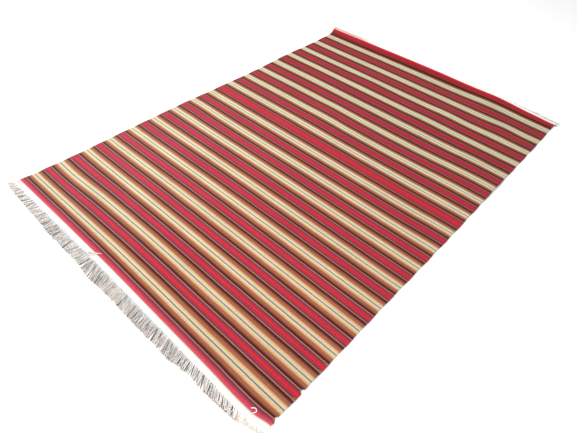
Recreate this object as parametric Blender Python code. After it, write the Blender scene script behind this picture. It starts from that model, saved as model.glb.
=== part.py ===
"""Flat-woven striped rug with white headings and fringed ends, lying on a floor.

Metres, +Z up. X runs across the rug from selvedge to selvedge and Y along it, towards the
end that curls up. The origin is on the floor under the middle of the whole rug.

A place on the cloth is given as woven: `across` from the left selvedge, `along` from the
outer edge of the near red band. The near heading and fringe lie at negative `along`.
"""
import math
from collections import namedtuple

import bmesh
import bpy

WIDTH = 1.600  # selvedge to selvedge
CLOTH_LENGTH = 2.305  # striped cloth, red end band to red end band, measured along the weave
CLOTH_THICK = 0.0045
HEADING_WIDTH = 0.018
HEADING_THICK = 0.0035
BACKING_WIDTH = 0.005  # strip that holds the strands' roots
GAP = 0.0003

# Where the flat weave's left selvedge and near edge lie from the origin.
LEFT_X = -0.802
NEAR_Y = -1.151

COLUMNS = 20  # cells across the cloth
ROW_STEP = 0.044  # a third of a stripe repeat
CURL_START = 2.228  # middle of the last cream band, where the far end leaves the floor
CURL_ROWS = 8
CURL_STEP = 0.001
LIFT_FLOOR = 0.0004  # waves lower than this lie flat on the floor

STRANDS = 150
ROOT_WIDTH = 0.0042
ROOT_HEIGHT = 0.0034
TIP_SHARE = 0.68  # a tip's width over its root's
FALL_SHARE = 0.75  # part of a far strand that falls; the rest lies on the floor

# Waves of the weft lines in the plane of the cloth.
Sway = namedtuple("Sway", "across along half_across half_along turn shift")
SWAYS = (
    Sway(0.40, 0.000, 0.80, 0.06, 0, 0.009),
    Sway(1.47, 0.000, 0.12, 0.06, 0, -0.004),
    Sway(1.60, 0.000, 0.04, 0.03, 0, 0.011),
    Sway(0.12, 0.194, 0.18, 0.08, 0, -0.010),
    Sway(0.72, 0.154, 0.36, 0.17, 0, 0.006),
    Sway(0.05, 0.514, 0.35, 0.20, 0, -0.005),
    Sway(0.08, 0.964, 0.15, 0.07, 0, 0.006),
    Sway(1.58, 1.094, 0.14, 0.10, 0, 0.007),
    Sway(1.00, 1.474, 0.25, 0.14, 0, -0.005),
    Sway(0.00, 1.534, 0.22, 0.30, 0, -0.006),
    Sway(0.05, 2.114, 0.50, 0.28, 0, -0.009),
)

# Low ridges and puckers that stand off the floor.
Ridge = namedtuple("Ridge", "across along half_across half_along turn rise")
RIDGES = (
    Ridge(0.52, 1.234, 0.12, 0.07, 0, 0.0025),
    Ridge(0.64, 1.464, 0.11, 0.13, 20, 0.0034),
    Ridge(1.50, 1.564, 0.20, 0.13, 0, 0.0080),
    Ridge(1.40, 1.694, 0.07, 0.05, 0, 0.0030),
    Ridge(1.06, 1.814, 0.12, 0.05, 0, 0.0036),
    Ridge(0.60, 1.894, 0.13, 0.05, 0, 0.0050),
    Ridge(1.10, 1.954, 0.10, 0.05, 0, 0.0048),
    Ridge(1.40, 2.044, 0.09, 0.10, 0, 0.0062),
    Ridge(1.25, 2.234, 0.17, 0.09, 0, 0.0085),
)

# The curl at the far end: its slopes in degrees, across the rug. `foot` is the slope at the
# dark band, `band` at the blue line, `crest` at the red band's outer edge.
Curl = namedtuple("Curl", "across foot band crest heading")
CURLS = (
    Curl(0.00, 7, 34, 44, 32),
    Curl(0.30, 12, 44, 50, 12),
    Curl(0.85, 18, 54, 55, 6),
    Curl(1.20, 10, 34, 38, 6),
    Curl(1.45, 5, 20, 22, 4),
    Curl(1.60, 3, 12, 14, 0),
)
FOOT_AT, BAND_AT, CREST_AT, HEADING_AT = 0.036, 0.052, 0.073, 0.084  # from CURL_START

# How far each selvedge stands in from a straight edge; below 0 it stands out.
Inset = namedtuple("Inset", "along left right")
INSETS = (
    Inset(0.00, 0.004, 0.003),
    Inset(0.10, 0.010, -0.001),
    Inset(0.30, 0.014, -0.001),
    Inset(0.60, 0.010, -0.001),
    Inset(0.95, 0.008, -0.004),
    Inset(1.15, 0.015, -0.005),
    Inset(1.50, 0.020, -0.004),
    Inset(1.80, 0.012, -0.005),
    Inset(2.05, 0.018, -0.005),
    Inset(2.20, 0.015, -0.003),
    Inset(2.31, 0.006, 0.000),
)

# Short gaps in the right selvedge, where weft ends have come away.
Notch = namedtuple("Notch", "along depth half_width")
NOTCHES = (Notch(0.036, 0.008, 0.010), Notch(0.161, 0.011, 0.011))

# Strand length, and lean from straight out in degrees, positive to +X.
Fringe = namedtuple("Fringe", "across length lean")
NEAR_FRINGE = (
    Fringe(0.00, 0.038, -54),
    Fringe(0.05, 0.038, -22),
    Fringe(0.25, 0.045, -6),
    Fringe(0.42, 0.050, 6),
    Fringe(1.00, 0.060, -8),
    Fringe(1.20, 0.055, 18),
    Fringe(1.40, 0.046, 24),
    Fringe(1.49, 0.042, 32),
    Fringe(1.54, 0.030, 48),
    Fringe(1.60, 0.027, 56),
)
FAR_FRINGE = (
    Fringe(0.00, 0.062, -14),
    Fringe(0.10, 0.062, -4),
    Fringe(0.85, 0.062, 3),
    Fringe(1.45, 0.058, 8),
    Fringe(1.60, 0.040, 44),
)


def eased(rows, key, column, at):
    """A table's column at a place between its rows, with no kink at a row."""
    at = min(max(at, getattr(rows[0], key)), getattr(rows[-1], key))
    for low, high in zip(rows, rows[1:]):
        if at <= getattr(high, key):
            break
    share = (at - getattr(low, key)) / (getattr(high, key) - getattr(low, key))
    share = share * share * (3 - 2 * share)
    return getattr(low, column) * (1 - share) + getattr(high, column) * share


def hump(row, across, along):
    """1 at the middle of a wave, falling to 0 around it."""
    turn = math.radians(row.turn)
    right, up = across - row.across, along - row.along
    p = (right * math.cos(turn) + up * math.sin(turn)) / row.half_across
    q = (up * math.cos(turn) - right * math.sin(turn)) / row.half_along
    return math.exp(-p * p - q * q)


def sway(across, along):
    return sum(row.shift * hump(row, across, along) for row in SWAYS)


def lift(across, along):
    """Height of the underside over the floor, exactly 0 where the cloth lies flat."""
    return max(0.0, sum(row.rise * hump(row, across, along) for row in RIDGES) - LIFT_FLOOR)


def notch(along):
    return sum(row.depth * max(0.0, 1 - abs(along - row.along) / row.half_width) for row in NOTCHES)


def floor_x(across, along):
    left = eased(INSETS, "along", "left", along)
    right = WIDTH - eased(INSETS, "along", "right", along) - notch(along)
    return LEFT_X + left + (right - left) * across / WIDTH


def slope(across, past):
    """The curl's slope, `past` the place where it starts."""
    knots = (
        (0.0, 0.0),
        (FOOT_AT, eased(CURLS, "across", "foot", across)),
        (BAND_AT, eased(CURLS, "across", "band", across)),
        (CREST_AT, eased(CURLS, "across", "crest", across)),
        (HEADING_AT, eased(CURLS, "across", "heading", across)),
    )
    for (start, low), (end, high) in zip(knots, knots[1:]):
        if past <= end:
            return math.radians(low + (high - low) * (past - start) / (end - start))
    return math.radians(knots[-1][1])


def underside(across, along):
    """A point of the cloth's underside, and the slope of the cloth there."""
    flat = min(along, CURL_START)
    y = NEAR_Y + flat + sway(across, flat)
    z = lift(across, flat) if along > 0 else 0.0
    past = 0.0
    while past < along - CURL_START - 1e-9:
        step = min(CURL_STEP, along - CURL_START - past)
        angle = slope(across, past + step / 2)
        y += step * math.cos(angle)
        z += step * math.sin(angle)
        past += step
    return floor_x(across, max(along, 0.0)), y, z, slope(across, max(past, 0.0))


def between_columns(across, along):
    """As underside, but on the straight line between two columns of the cloth's cells."""
    column = min(int(across / WIDTH * COLUMNS), COLUMNS - 1)
    share = across / WIDTH * COLUMNS - column
    left = underside(WIDTH * column / COLUMNS, along)
    right = underside(WIDTH * (column + 1) / COLUMNS, along)
    return tuple(a * (1 - share) + b * share for a, b in zip(left, right))


def over(point, thick):
    """The point at this thickness over a point of the underside."""
    x, y, z, angle = point
    return x, y - thick * math.sin(angle), z + thick * math.cos(angle)


def cloth_rows():
    """Places along the cloth: even steps, the notches' corners, then close steps up the curl."""
    count = round(CURL_START / ROW_STEP)
    rows = {round(CURL_START * i / count, 4) for i in range(count + 1)}
    for row in NOTCHES:
        rows |= {round(row.along + row.half_width * side, 4) for side in (-1, 0, 1)}
    rows |= {CURL_START + (CLOTH_LENGTH - CURL_START) * (i + 1) / CURL_ROWS for i in range(CURL_ROWS)}
    return sorted(rows)


def slab(name, rows, thick, material):
    """One closed solid of cloth between the first and last of these rows."""
    across = [WIDTH * i / COLUMNS for i in range(COLUMNS + 1)]
    low, high = [], []
    bm = bmesh.new()
    for along in rows:
        points = [underside(u, along) for u in across]
        low.append([bm.verts.new(p[:3]) for p in points])
        high.append([bm.verts.new(over(p, thick)) for p in points])
    for j in range(len(rows) - 1):
        for i in range(COLUMNS):
            bm.faces.new((high[j][i], high[j][i + 1], high[j + 1][i + 1], high[j + 1][i]))
            bm.faces.new((low[j][i], low[j + 1][i], low[j + 1][i + 1], low[j][i + 1]))
        bm.faces.new((low[j][0], high[j][0], high[j + 1][0], low[j + 1][0]))
        bm.faces.new((low[j][-1], low[j + 1][-1], high[j + 1][-1], high[j][-1]))
    for i in range(COLUMNS):
        bm.faces.new((low[0][i], low[0][i + 1], high[0][i + 1], high[0][i]))
        bm.faces.new((low[-1][i], high[-1][i], high[-1][i + 1], low[-1][i + 1]))
    return finished(name, bm, material)


def near_strand(root, length, lean, number):
    """Underside points of a strand on the floor, from its root to its tip."""
    x, y, z = root
    out_x, out_y = math.sin(lean), -math.cos(lean)
    bend = 0.0012 * math.sin(1.7 * number)
    middle = (x + out_x * length / 2 - out_y * bend, y + out_y * length / 2 + out_x * bend, z)
    return [root, middle, (x + out_x * length, y + out_y * length, z)]


def far_strand(root, length, lean, number):
    """Underside points of a strand that falls from the crest and ends level on the floor."""
    x, y, z = root
    falling = length * FALL_SHARE
    reach = math.sqrt(max(falling**2 - z**2, (0.3 * falling) ** 2))
    points = [root]
    for share, height in ((0.42, 0.70), (1.0, 0.0), (1.0 + length * (1 - FALL_SHARE) / reach, 0.0)):
        points.append((x + math.sin(lean) * reach * share, y + math.cos(lean) * reach * share, z * height))
    return points


def sections(points, lean, outward):
    """Three corners at each point of a strand past its root: left, right and ridge."""
    side_x, side_y = math.cos(lean), -math.sin(lean) * outward
    found = []
    for k, (x, y, z) in enumerate(points[1:], 1):
        taper = 1 + (TIP_SHARE - 1) * k / (len(points) - 1)
        half = ROOT_WIDTH * taper / 2
        before = points[k - 1]
        after = points[min(k + 1, len(points) - 1)]
        run = math.hypot(after[0] - before[0], after[1] - before[1])
        tilt = math.atan2(after[2] - before[2], run) if z > 0 else 0.0
        rise = ROOT_HEIGHT * taper
        ridge = (
            x - math.sin(lean) * math.sin(tilt) * rise,
            y - outward * math.cos(lean) * math.sin(tilt) * rise,
            z + math.cos(tilt) * rise,
        )
        left = (x - side_x * half, y - side_y * half, z)
        right = (x + side_x * half, y + side_y * half, z)
        found.append((left, right, ridge))
    return found


def fringe(name, inner_edge, outward, table, strand, material):
    """A narrow strip with its strands, as one closed solid. `outward` is -1 near, 1 far."""
    bm = bmesh.new()
    pitch = WIDTH / STRANDS
    inner, outer = [], []
    for number in range(STRANDS):
        across = pitch * (number + 0.5)
        back = between_columns(across, inner_edge)
        front = between_columns(across, inner_edge + outward * BACKING_WIDTH)
        inner.append((bm.verts.new(back[:3]), bm.verts.new(over(back, ROOT_HEIGHT))))
        x, y, z, _ = front
        left = bm.verts.new((x - ROOT_WIDTH / 2, y, z))
        right = bm.verts.new((x + ROOT_WIDTH / 2, y, z))
        ridge = bm.verts.new(over(front, ROOT_HEIGHT))
        outer.append((left, right, ridge))
        lean = math.radians(eased(table, "across", "lean", across) + 2.0 * math.sin(2.4 * number))
        length = eased(table, "across", "length", across) + 0.003 * math.sin(3.1 * number)
        ring = outer[-1]
        for corners in sections(strand((x, y, z), length, lean, number), lean, outward):
            corners = tuple(bm.verts.new(c) for c in corners)
            for a, b in ((0, 1), (1, 2), (2, 0)):
                bm.faces.new((ring[a], ring[b], corners[b], corners[a]))
            ring = corners
        bm.faces.new(ring)
        bm.faces.new((inner[-1][0], left, right))
    for (low, high), (low_2, high_2), ends, ends_2 in zip(inner, inner[1:], outer, outer[1:]):
        bm.faces.new((high, high_2, ends_2[2], ends[2]))
        bm.faces.new((low, low_2, high_2, high))
        bm.faces.new((low, ends[1], ends_2[0], low_2))
        bm.faces.new((ends[1], ends[2], ends_2[2], ends_2[0]))
    bm.faces.new((inner[0][0], inner[0][1], outer[0][2], outer[0][0]))
    bm.faces.new((inner[-1][0], outer[-1][1], outer[-1][2], inner[-1][1]))
    return finished(name, bm, material)


def finished(name, bm, material):
    bmesh.ops.triangulate(bm, faces=bm.faces)
    bmesh.ops.recalc_face_normals(bm, faces=bm.faces)
    mesh = bpy.data.meshes.new(name)
    bm.to_mesh(mesh)
    bm.free()
    mesh.materials.append(material)
    mesh.shade_smooth()
    mesh.set_sharp_from_angle(angle=math.radians(35))
    piece = bpy.data.objects.new(name, mesh)
    bpy.context.scene.collection.objects.link(piece)
    return piece


def plain_material(name, colour, roughness):
    material = bpy.data.materials.new(name)
    material.use_nodes = True
    shader = material.node_tree.nodes["Principled BSDF"]
    shader.inputs["Base Color"].default_value = (*colour, 1)
    shader.inputs["Roughness"].default_value = roughness
    shader.inputs["Metallic"].default_value = 0
    return material


def build():
    for old in list(bpy.data.objects):
        bpy.data.objects.remove(old)

    wool = plain_material("striped wool", (0.42, 0.07, 0.06), 0.92)
    cotton = plain_material("white heading", (0.90, 0.87, 0.82), 0.90)
    yarn = plain_material("fringe yarn", (0.80, 0.76, 0.69), 0.90)

    slab("field", cloth_rows(), CLOTH_THICK, wool)

    near_heading_end = -GAP - HEADING_WIDTH
    far_heading_end = CLOTH_LENGTH + GAP + HEADING_WIDTH
    far_rows = [CLOTH_LENGTH + GAP + HEADING_WIDTH * i / 4 for i in range(5)]
    slab("near_heading", [near_heading_end, -GAP], HEADING_THICK, cotton)
    slab("far_heading", far_rows, HEADING_THICK, cotton)

    fringe("near_fringe", near_heading_end - GAP, -1, NEAR_FRINGE, near_strand, yarn)
    fringe("far_fringe", far_heading_end + GAP, 1, FAR_FRINGE, far_strand, yarn)


build()
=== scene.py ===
"""Looks of a flat-woven striped rug with white headings and fringed ends, lying on a floor.

Metres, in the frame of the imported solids: X across the rug, Y along it towards the end that
curls up, Z up. A place on the cloth is given as woven: `across` from the left selvedge,
`along` from the outer edge of the near red band. The near heading and fringe lie at negative
`along`. The folds repeat those of the solids, so each piece lies where its solid is.
"""

import math
from collections import namedtuple

import bpy
import numpy as np
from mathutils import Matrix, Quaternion, Vector, noise


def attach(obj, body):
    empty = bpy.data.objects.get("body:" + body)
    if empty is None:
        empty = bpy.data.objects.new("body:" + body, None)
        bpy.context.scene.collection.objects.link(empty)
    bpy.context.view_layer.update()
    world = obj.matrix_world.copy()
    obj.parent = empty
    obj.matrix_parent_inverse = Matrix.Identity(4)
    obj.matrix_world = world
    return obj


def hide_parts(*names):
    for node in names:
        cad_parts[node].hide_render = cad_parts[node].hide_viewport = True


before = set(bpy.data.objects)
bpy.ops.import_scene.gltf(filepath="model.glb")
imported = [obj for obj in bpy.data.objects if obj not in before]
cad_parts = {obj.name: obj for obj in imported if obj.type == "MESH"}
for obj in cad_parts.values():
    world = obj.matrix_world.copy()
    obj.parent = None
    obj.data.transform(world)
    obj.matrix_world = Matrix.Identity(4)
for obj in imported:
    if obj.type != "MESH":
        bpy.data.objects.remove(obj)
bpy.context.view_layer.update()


def table(kind, *rows):
    return tuple(kind(*row) for row in rows)


# Sizes of the rug, as in the solids

WIDTH = 1.6
CLOTH_LENGTH = 2.305
CLOTH_THICK = 0.0045
HEADING_WIDTH = 0.018
HEADING_THICK = 0.0035
GAP = 0.0003  # from piece to piece
NEAR_EDGE = -GAP - HEADING_WIDTH
FAR_EDGE = CLOTH_LENGTH + GAP + HEADING_WIDTH
LEFT_X = -0.802  # the flat weave's left selvedge and near edge, from the origin
NEAR_Y = -1.151
CURL_START = 2.228  # where the far end leaves the floor
CURL_STEP = 0.001
LIFT_FLOOR = 0.0004  # waves lower than this lie flat on the floor
FALL_SHARE = 0.75  # part of a far strand that falls; the rest lies on the floor

# Waves of the weft lines in the plane of the cloth.
Sway = namedtuple("Sway", "across along half_across half_along shift turn", defaults=(0,))
SWAYS = table(
    Sway,
    (0.4, 0.0, 0.8, 0.06, 0.009), (1.47, 0.0, 0.12, 0.06, -0.004),
    (1.6, 0.0, 0.04, 0.03, 0.011), (0.12, 0.194, 0.18, 0.08, -0.01),
    (0.72, 0.154, 0.36, 0.17, 0.006), (0.05, 0.514, 0.35, 0.2, -0.005),
    (0.08, 0.964, 0.15, 0.07, 0.006), (1.58, 1.094, 0.14, 0.1, 0.007),
    (1.0, 1.474, 0.25, 0.14, -0.005), (0.0, 1.534, 0.22, 0.3, -0.006),
    (0.05, 2.114, 0.5, 0.28, -0.009),
)

# Low ridges and puckers that stand off the floor.
Ridge = namedtuple("Ridge", "across along half_across half_along rise turn", defaults=(0,))
RIDGES = table(
    Ridge,
    (0.52, 1.234, 0.12, 0.07, 0.0025), (0.64, 1.464, 0.11, 0.13, 0.0034, 20),
    (1.5, 1.564, 0.2, 0.13, 0.008), (1.4, 1.694, 0.07, 0.05, 0.003),
    (1.06, 1.814, 0.12, 0.05, 0.0036), (0.6, 1.894, 0.13, 0.05, 0.005),
    (1.1, 1.954, 0.1, 0.05, 0.0048), (1.4, 2.044, 0.09, 0.1, 0.0062),
    (1.25, 2.234, 0.17, 0.09, 0.0085),
)

# Slopes of the curl in degrees, across the rug.
Curl = namedtuple("Curl", "across foot band crest heading")
CURLS = table(
    Curl,
    (0.0, 7, 34, 44, 32), (0.3, 12, 44, 50, 12),
    (0.85, 18, 54, 55, 6), (1.2, 10, 34, 38, 6),
    (1.45, 5, 20, 22, 4), (1.6, 3, 12, 14, 0),
)
FOOT_AT, BAND_AT, CREST_AT, HEADING_AT = 0.036, 0.052, 0.073, 0.084  # from CURL_START

# How far each selvedge stands in from a straight edge; below 0 it stands out.
Inset = namedtuple("Inset", "along left right")
INSETS = table(
    Inset,
    (0.0, 0.004, 0.003), (0.1, 0.01, -0.001), (0.3, 0.014, -0.001),
    (0.6, 0.01, -0.001), (0.95, 0.008, -0.004), (1.15, 0.015, -0.005),
    (1.5, 0.02, -0.004), (1.8, 0.012, -0.005), (2.05, 0.018, -0.005),
    (2.2, 0.015, -0.003), (2.31, 0.006, 0.0),
)

# Short gaps in the right selvedge, where weft ends have come away.
Notch = namedtuple("Notch", "along depth half_width")
NOTCHES = (Notch(0.036, 0.008, 0.01), Notch(0.161, 0.011, 0.011))
END_BULGE = Notch(0.0125, -0.0045, 0.012)  # the near end band stands out past the selvedge
LEFT_WORN = 0.005  # the left edge stands in from its solid's
SCALLOP = 0.0014  # the selvedges stand out beside red bands and in beside cream ones
# The right end of the near heading flares out.
FLARE_FROM = 1.56
FLARE_IN, FLARE_OUT = 0.004, 0.015

# The far strands: length, and lean from straight out in degrees, positive to +X.
Fringe = namedtuple("Fringe", "across length lean")
FAR_FRINGE = table(
    Fringe,
    (0.0, 0.062, -14), (0.1, 0.062, -4), (0.85, 0.062, 3),
    (1.45, 0.058, 10), (1.6, 0.05, 42),
)

# Sizes of the stripes and the weave

REPEAT = 0.1325  # one repeat of the stripes in their own measure, cream to cream
CREAM_MIDDLES = (  # along
    0.0724, 0.2041, 0.337, 0.4694, 0.6022, 0.7354, 0.8686, 0.9992, 1.1326,
    1.2817, 1.4159, 1.5403, 1.6739, 1.8123, 1.9455, 2.0837, 2.2182,
)
RED_MIDDLES = (  # along, each between two cream bands
    0.1379, 0.2704, 0.403, 0.5354, 0.6693, 0.802, 0.9334, 1.0666,
    1.2079, 1.3497, 1.4797, 1.6066, 1.7483, 1.8798, 2.0138, 2.1515,
)
WIDE_RED = 8  # this red band is wider than the others
WIDE_RED_EXTRA = 0.0165
TURN_HALF = 0.0001  # half the place where the stripes turn, in a red band's middle
NEAR_SQUEEZE = 0.963  # the stripes before the first cream band lie closer together

# Waves of the weft lines within the cloth, which leave its edges as they are.
WEFT_WAVES = table(
    Sway,
    (0.0, 0.12, 0.35, 0.1, -0.0015), (1.6, 0.4, 0.3, 0.15, -0.0025),
    (0.75, 0.74, 0.4, 0.22, 0.003), (1.6, 0.74, 0.3, 0.12, -0.0015),
    (1.5, 1.36, 0.22, 0.12, 0.0035), (0.75, 1.4, 0.3, 0.12, -0.0012),
    (0.0, 2.15, 0.5, 0.16, -0.0035), (1.6, 2.2, 0.45, 0.11, 0.003),
    (1.15, 2.264, 0.75, 0.04, 0.0125),
)
PINNED = 0.05  # how far from an end of the cloth those waves fade out

RIB = 0.004  # from warp to warp; each warp shows as a rib along the rug
PICK = 0.0021  # from weft to weft on one rib
WANDER = 0.0011  # how far a stripe's edge strays

# Colours as they look under the studio's light, sRGB from 0 to 255, near and far along the rug.
Stripe = namedtuple("Stripe", "distance near far")  # millimetres from a cream band's middle
STRIPES = table(
    Stripe,
    (0.0, (90, 124, 126), (101, 139, 146)), (1.6, (108, 138, 136), (115, 149, 153)),
    (2.8, (236, 226, 203), (216, 213, 201)), (6.5, (248, 231, 200), (230, 225, 207)),
    (9.5, (251, 222, 175), (238, 225, 192)), (13.0, (251, 206, 155), (233, 201, 160)),
    (16.5, (231, 176, 132), (209, 169, 125)), (19.0, (196, 135, 93), (186, 142, 98)),
    (23.0, (178, 116, 76), (165, 118, 76)), (26.0, (183, 119, 91), (147, 95, 67)),
    (30.0, (177, 98, 87), (127, 72, 58)), (33.0, (145, 77, 74), (107, 50, 43)),
    (36.5, (92, 55, 54), (83, 37, 32)), (40.5, (58, 37, 35), (73, 31, 28)),
    (43.2, (66, 40, 35), (84, 39, 35)), (44.2, (219, 130, 70), (173, 101, 70)),
    (47.6, (219, 136, 78), (173, 102, 77)), (48.6, (84, 76, 126), (108, 71, 100)),
    (53.4, (84, 74, 132), (116, 68, 98)), (54.8, (206, 56, 66), (177, 45, 58)),
    (58.5, (213, 55, 67), (188, 40, 51)), (63.0, (218, 53, 65), (191, 40, 52)),
    (65.2, (222, 67, 77), (195, 43, 56)), (66.25, (222, 69, 79), (195, 43, 56)),
)
FAR_FROM = (0.45, 1.75)  # along: where the far colours start and where they are full
# Factors of the near colours: a little cooler to the left and warmer to the right.
COOL, WARM = (1.0, 1.05, 1.05, 1.0), (1.0, 0.94, 0.9, 1.0)
CURL_SHADE = (0.6, 0.57, 0.55, 1.0)  # painted shade: a factor of the colours at the foot of the curl
CURL_SHADE_IN = (CURL_START + 0.014, CURL_START + 0.026)
CURL_SHADE_OUT = (CLOTH_LENGTH - 0.026, CLOTH_LENGTH - 0.032)
VEIL = 0.012  # painted light: how much white the near left part takes
# Colours of the end bands and where each grows along the cloth, from none to full.
END_RED, END_RED_FROM = (206, 66, 84), (0.019, 0.0172)
END_PINK, END_PINK_FROM = (237, 98, 110), (0.0165, 0.004)
END_EDGE, END_EDGE_FROM = (250, 176, 172), (0.0018, 0.0)
# Painted shade: the far band takes up to half a darker red where it rises up the curl.
SHADED_FAR_END_RED, FAR_END_FROM = (174, 42, 50), (CLOTH_LENGTH - 0.036, CLOTH_LENGTH - 0.032)
FAR_END_FADES = (CLOTH_LENGTH - 0.01, CLOTH_LENGTH - 0.006)
# The far band turns pink along its outer edge.
OUTER_PINK, OUTER_PINK_FROM = (238, 104, 112), (CLOTH_LENGTH - 0.007, CLOTH_LENGTH)
WORN_EDGE, WORN_WIDTH = (222, 192, 164), 0.0055  # at the left selvedge
# Short weft ends at the right selvedge, and the end of a brighter blue weft.
KHAKI = (168, 132, 92)
SHORT_ENDS = (0.0425, 0.0535)  # between these distances from a cream band's middle
SHORT_TO = (WIDTH - 0.02, WIDTH - 0.002)
SHORT_UP_TO = 0.3  # along
BLUE_END = (36, 82, 176)
BLUE_LINE = (0.046, 0.056)
BLUE_END_AT, BLUE_END_HALF, BLUE_END_LENGTH = 2.036, 0.01, 0.024
LIGHT = 1.4  # light on the rug; the colours above are what is left of it

# Colours of the undyed yarn itself. The near heading turns pink beside the red band; the far one's
# tan is painted shade where it curls.
HEADING_WHITE = (234, 232, 225)
HEADING_PINK = (214, 178, 174)
HEADING_SHADE_TAN = (180, 143, 127)
END_CREAM = (202, 189, 183)
YARN_ROOT = (254, 253, 249)
YARN_LIGHT = (254, 249, 242)
YARN_DARK = (242, 227, 216)
YARN_SHADE = (92, 84, 82)  # painted shade: the lowest strands where tufts part, coloured dark for the shadow between tufts

# Camera, measured from the photograph's four corners

CAMERA_AT = Vector((1.1645, -1.565, 1.5049))
CAMERA_AIM = Vector((0.2264, -0.4398, 0.0))
CAMERA_ROLL = 4.02  # degrees
CAMERA_LENS = 29.738
SENSOR_WIDTH = 36.0


# Folds of the cloth, as in the solids but for many places at once


def unit(value):
    return np.clip(value, 0, 1)


def smooth(share):
    return share * share * (3 - 2 * share)


def eased(rows, column, at):
    """A table's column at places between its rows, with no kink at a row."""
    knots = np.array([row[0] for row in rows])
    values = np.array([getattr(row, column) for row in rows], float)
    at = np.clip(at, knots[0], knots[-1])
    low = np.clip(np.searchsorted(knots, at) - 1, 0, len(knots) - 2)
    share = smooth((at - knots[low]) / (knots[low + 1] - knots[low]))
    return values[low] * (1 - share) + values[low + 1] * share


def hump(row, across, along):
    """1 at the middle of a wave, falling to 0 around it."""
    turn = math.radians(row.turn)
    right, up = across - row.across, along - row.along
    p = (right * math.cos(turn) + up * math.sin(turn)) / row.half_across
    q = (up * math.cos(turn) - right * math.sin(turn)) / row.half_along
    return np.exp(-p * p - q * q)


def sway(across, along):
    return sum(row.shift * hump(row, across, along) for row in SWAYS)


def lift(across, along):
    """Height of the underside over the floor, exactly 0 where the cloth lies flat."""
    rise = sum(row.rise * hump(row, across, along) for row in RIDGES)
    return np.where(along > 0, np.maximum(0.0, rise - LIFT_FLOOR), 0.0)


def notch(along):
    return sum(
        row.depth * np.maximum(0.0, 1 - abs(along - row.along) / row.half_width)
        for row in (*NOTCHES, END_BULGE)
    )


def floor_x(across, along):
    scallop = SCALLOP * np.cos(math.tau * stripe_coordinate(along) / REPEAT)
    left = eased(INSETS, "left", along) + LEFT_WORN + scallop
    right = WIDTH - eased(INSETS, "right", along) - notch(along) - scallop
    return LEFT_X + left + (right - left) * across / WIDTH


def flare(across, along):
    """How far the near heading's right end stands out."""
    outward = unit(-along / HEADING_WIDTH)
    share = unit((across - FLARE_FROM) / (WIDTH - FLARE_FROM))
    return np.where(along < 0, (FLARE_IN + (FLARE_OUT - FLARE_IN) * outward) * share**2, 0.0)


def slope(across, past):
    """The curl's slope in radians, `past` the place where it starts."""
    knots = (0.0, FOOT_AT, BAND_AT, CREST_AT, HEADING_AT)
    columns = ("foot", "band", "crest", "heading")
    degrees = [np.zeros_like(across)] + [eased(CURLS, c, across) for c in columns]
    found = degrees[-1]
    for k in range(len(columns) - 1, -1, -1):
        share = unit((past - knots[k]) / (knots[k + 1] - knots[k]))
        here = degrees[k] + (degrees[k + 1] - degrees[k]) * share
        found = np.where(past <= knots[k + 1], here, found)
    return np.radians(found)


def curl(across, past):
    """How far the cloth runs and rises in its curl, and its slope there."""
    run, rise, done = np.zeros_like(past), np.zeros_like(past), np.zeros_like(past)
    for _ in range(math.ceil(past.max() / CURL_STEP)):
        step = np.clip(past - done, 0, CURL_STEP)
        angle = slope(across, done + step / 2)
        run += step * np.cos(angle)
        rise += step * np.sin(angle)
        done += step
    return run, rise, slope(across, past)


def underside(across, along):
    """x, y, z of the cloth's underside and its slope, at arrays of places."""
    across, along = np.broadcast_arrays(np.asarray(across, float), np.asarray(along, float))
    flat = np.minimum(along, CURL_START)
    run, rise, angle = curl(across, along - flat)
    x = floor_x(across, np.maximum(along, 0.0)) + flare(across, along)
    y = NEAR_Y + flat + sway(across, flat) + run
    return x, y, lift(across, flat) + rise, angle


def over(place, height):
    """Points at this height over places of the underside, as an array of x, y, z."""
    x, y, z, angle = place
    return np.stack([x, y - height * np.sin(angle), z + height * np.cos(angle)], -1)


# Meshes


def tube_faces(rings, size, first=0):
    """Quads between rings of `size` points each."""
    at = first + np.arange(rings * size).reshape(rings, size)
    after = np.roll(at, -1, axis=1)
    return np.stack([at[:-1], after[:-1], after[1:], at[1:]], -1).reshape(-1, 4).tolist()


def sheet_faces(rows, size, first=0):
    """Quads of a closed sheet: a tube through its rows, whose two ends are filled."""
    faces = tube_faces(rows, size, first)
    for row, turned in ((0, False), (rows - 1, True)):
        at = first + row * size
        for k in range(size // 2 - 1):
            face = [at + k, at + k + 1, at + size - 2 - k, at + size - 1 - k]
            faces.append(face if turned else face[::-1])
    return faces


def make_piece(name, points, faces, material, floats=None, weave=None):
    """A smooth-shaded mesh. `floats` are values a point, `weave` its place on the cloth."""
    mesh = bpy.data.meshes.new(name)
    mesh.from_pydata(points.tolist(), [], faces)
    for key, values in (floats or {}).items():
        mesh.attributes.new(key, "FLOAT", "POINT").data.foreach_set("value", np.float32(values))
    if weave is not None:
        corner = np.zeros(len(mesh.loops), np.int32)
        mesh.loops.foreach_get("vertex_index", corner)
        layer = mesh.uv_layers.new(name="weave")
        layer.uv.foreach_set("vector", np.float32(weave[corner]).ravel())
    mesh.materials.append(material)
    mesh.shade_smooth()
    mesh.update()
    piece = bpy.data.objects.new(name, mesh)
    bpy.context.scene.collection.objects.link(piece)
    return piece


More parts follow.
